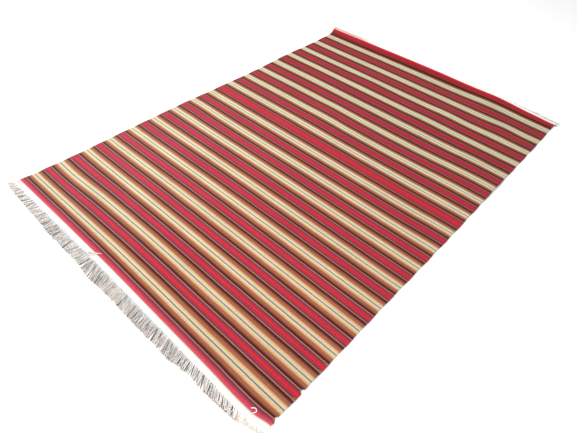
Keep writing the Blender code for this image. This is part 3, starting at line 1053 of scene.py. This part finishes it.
def striped_wool():
    s = Shading("striped wool", roughness=0.95, sheen=0.02)
    across, along = s.weave()
    rib, bead, middle, height = weft_beads(s, across, along)
    wander = s.noise(s.join(s.times(across, 22.0), s.times(along, 6.0)), 1.0)
    wander = s.ranged(wander, 0.0, 1.0, -WANDER, WANDER)
    band = s.math("ADD", s.value("band"), s.math("SUBTRACT", middle, along))
    colour, distance = stripes(s, s.math("ADD", band, wander), across, along)
    colour = weft_ends(s, colour, distance, across, along)
    colour = end_bands(s, colour, across, along)

    pick = s.math("FLOOR", s.math("DIVIDE", along, PICK))
    each_bead = s.ranged(s.random(s.join(rib, bead)), 0.0, 1.0, 0.9, 1.1)
    each_pick = s.ranged(s.random(s.join(0.0, pick)), 0.0, 1.0, 0.95, 1.05)
    worn = s.ranged(s.noise(s.join(across, along), 5.0, 3.0), 0.3, 0.7, 0.96, 1.04)
    streaks = s.noise(s.join(s.times(across, 4.0), s.times(along, 160.0)), 1.0, 3.0)
    streaks = s.ranged(streaks, 0.3, 0.7, 0.94, 1.06)
    # Painted shade: the colour is darker in the weave's hollows, between ribs and beads.
    hollow_shade = s.ranged(height, 0.0, 0.6, 0.8, 1.0)
    colour = s.brighter(colour, s.times(each_bead, each_pick, worn, streaks, hollow_shade))
    s.fuzzy_bump(height, across, along, 0.55, 0.0009)
    return s.finish(colour)


def white_heading():
    s = Shading("white heading", roughness=0.95, sheen=0.03)
    across, along = s.weave()
    rib, bead, _, height = weft_beads(s, across, along)
    near = s.math("LESS_THAN", along, CLOTH_LENGTH / 2)
    # Painted shade: the far heading's left end, where it curls, is coloured a darker tan.
    tan = s.times(
        s.math("SUBTRACT", 1.0, near),
        s.ranged(across, 0.4, 0.2, 0.0, 0.9, smooth=True),
        s.ranged(along, CLOTH_LENGTH, CLOTH_LENGTH + 0.006, 0.35, 1.0, smooth=True),
        s.ranged(along, CLOTH_LENGTH + 0.016, CLOTH_LENGTH + 0.011, smooth=True),
    )
    colour = s.mixed(tan, linear(HEADING_WHITE), linear(HEADING_SHADE_TAN))
    pink = s.times(near, s.ranged(along, -0.0065, 0.0, 0.0, 0.95, smooth=True))
    colour = s.mixed(pink, colour, linear(HEADING_PINK))
    left_end = s.times(near, s.ranged(across, 0.03, 0.004, 0.0, 0.9))
    colour = s.mixed(left_end, colour, linear(END_CREAM))

    each_bead = s.ranged(s.random(s.join(rib, bead)), 0.0, 1.0, 0.97, 1.03)
    worn = s.ranged(s.noise(s.join(across, along), 14.0, 3.0), 0.3, 0.7, 0.97, 1.02)
    # Painted shade: the colour is darker in the weave's hollows, between ribs and beads.
    hollow_shade = s.ranged(height, 0.0, 0.6, 0.92, 1.0)
    colour = s.brighter(colour, s.times(each_bead, worn, hollow_shade))
    s.fuzzy_bump(height, across, along, 0.4, 0.0006)
    return s.finish(colour)


def fringe_yarn():
    s = Shading("fringe yarn", roughness=0.95, sheen=0.4)
    tone, reach = s.value("tone"), s.value("reach")
    colour = s.mixed(tone, linear(YARN_LIGHT), linear(YARN_DARK))
    near_root = s.ranged(reach, 0.1, 0.65, 1.0, 0.0, smooth=True)
    colour = s.mixed(s.times(near_root, 0.85), colour, linear(YARN_ROOT))
    # Painted shade: a tone above 1 darkens a strand towards YARN_SHADE, out from its root.
    shade = s.times(s.ranged(tone, 1.0, 2.0), s.ranged(reach, 0.02, 0.24, smooth=True))
    colour = s.mixed(shade, colour, linear(YARN_SHADE))
    fibres = s.noise(s.node("TexCoord").outputs["Object"], 1400.0)
    colour = s.brighter(colour, s.ranged(fibres, 0.3, 0.7, 0.95, 1.03))
    s.bump(fibres, 0.2, 0.0003)
    return s.finish(colour)


def plain_floor():
    s = Shading("studio floor", roughness=0.9, sheen=0.0)
    return s.finish((0.955, 0.955, 0.955, 1.0))


# The pieces


def dress():
    wool, white, yarn = striped_wool(), white_heading(), fringe_yarn()
    wide, fine = columns(CLOTH_COLUMNS, CROWDED), columns(HEADING_COLUMNS)
    cloth = cloth_sheet("rug_cloth", cloth_rows(), wide, cloth_thick, cloth_rise, wool)
    rows = np.linspace(NEAR_EDGE, -GAP / 3, NEAR_ROWS)
    near = cloth_sheet("near_heading_cloth", rows, fine, heading_thick, heading_rise, white)
    rows = np.linspace(CLOTH_LENGTH + GAP / 3, FAR_EDGE, FAR_ROWS)
    far = cloth_sheet("far_heading_cloth", rows, fine, heading_thick, heading_rise, white)
    left = selvedge("left_selvedge", 0.0, -1, wool)
    right = selvedge("right_selvedge", WIDTH, 1, wool)
    near_strands = near_fringe(yarn)
    far_strands = far_fringe(yarn)
    loose = loose_strands(yarn)

    slots = ["striped_wool"] * 3 + ["heading"] * 2 + ["fringe"] * 3
    pieces = (cloth, left, right, near, far, near_strands, far_strands, loose)
    for piece, slot in zip(pieces, slots):
        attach(piece, "root")
    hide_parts("field")
    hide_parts("near_heading")
    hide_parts("far_heading")
    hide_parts("near_fringe")
    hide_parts("far_fringe")


# Stage


FLOOR_HALF, FLOOR_DROP = 12.0, 0.0008
WORLD_LIGHT = 0.76
Lamp = namedtuple("Lamp", "name at aim size energy")
LAMPS = table(
    Lamp,
    ("key", Vector((-1.3, 0.15, 3.0)), Vector((-0.2, -0.1, 0.0)), 1.6, 80),
    ("fill", Vector((3.4, -5.0, 2.2)), Vector((-0.3, -1.1, 0.0)), 2.5, 90),
)


def aimed(name, data, at, aim, roll=0.0):
    """A lamp or camera at a place, turned to look at another and then rolled."""
    made = bpy.data.objects.new(name, data)
    made.location = at
    made.rotation_mode = "QUATERNION"
    roll = Quaternion((0.0, 0.0, 1.0), math.radians(roll))
    made.rotation_quaternion = (aim - at).to_track_quat("-Z", "Y") @ roll
    bpy.context.scene.collection.objects.link(made)
    return made


def studio():
    scene = bpy.context.scene
    scene.view_settings.view_transform = "Standard"

    sides = ((-1, -1), (1, -1), (1, 1), (-1, 1))
    corners = [(x * FLOOR_HALF, y * FLOOR_HALF, -FLOOR_DROP) for x, y in sides]
    floor = make_piece("floor", np.array(corners), [(0, 1, 2, 3)], plain_floor())

    scene.world = bpy.data.worlds.new("studio")
    scene.world.use_nodes = True
    background = scene.world.node_tree.nodes["Background"]
    background.inputs["Color"].default_value = (1.0, 1.0, 1.0, 1.0)
    background.inputs["Strength"].default_value = WORLD_LIGHT

    for lamp in LAMPS:
        light = bpy.data.lights.new(lamp.name, "AREA")
        light.shape = "DISK"
        light.size = lamp.size
        light.energy = lamp.energy
        aimed(lamp.name, light, lamp.at, lamp.aim)

    data = bpy.data.cameras.new("camera")
    data.sensor_fit = "HORIZONTAL"
    data.sensor_width = SENSOR_WIDTH
    data.lens = CAMERA_LENS
    scene.camera = aimed("camera", data, CAMERA_AT, CAMERA_AIM, CAMERA_ROLL)


studio()
dress()
